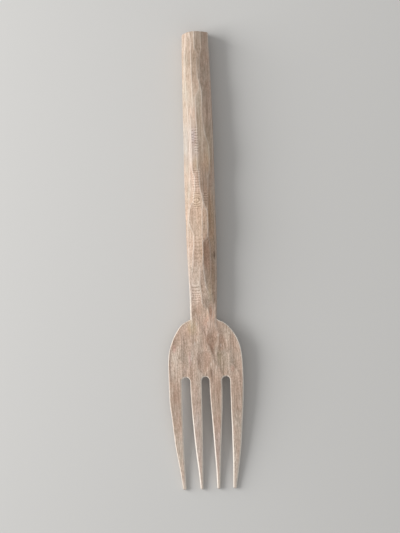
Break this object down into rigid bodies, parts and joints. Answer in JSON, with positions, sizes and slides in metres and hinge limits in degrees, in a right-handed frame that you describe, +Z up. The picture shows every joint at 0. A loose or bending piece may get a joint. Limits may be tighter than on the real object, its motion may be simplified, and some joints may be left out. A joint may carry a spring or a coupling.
{
  "type": "pasta fork",
  "caption": "Hand-carved wooden pasta fork: a faceted handle, rounded shoulders and long tapered tines with open slots, for lifting and serving pasta.",
  "frame": {"origin": "on the surface that the fork lies on, under the middle of its length and width", "axes": "+Y along the fork to the end of the handle, +Z up out of its face, +X to its right"},
  "size_m": [0.049, 0.3, 0.0175],
  "materials": {
    "wood": "bare, knife-cut and lightly oiled"
  },
  "bodies": {
    "root": {"carved_fork": "wood"}
  },
  "joints": []
}
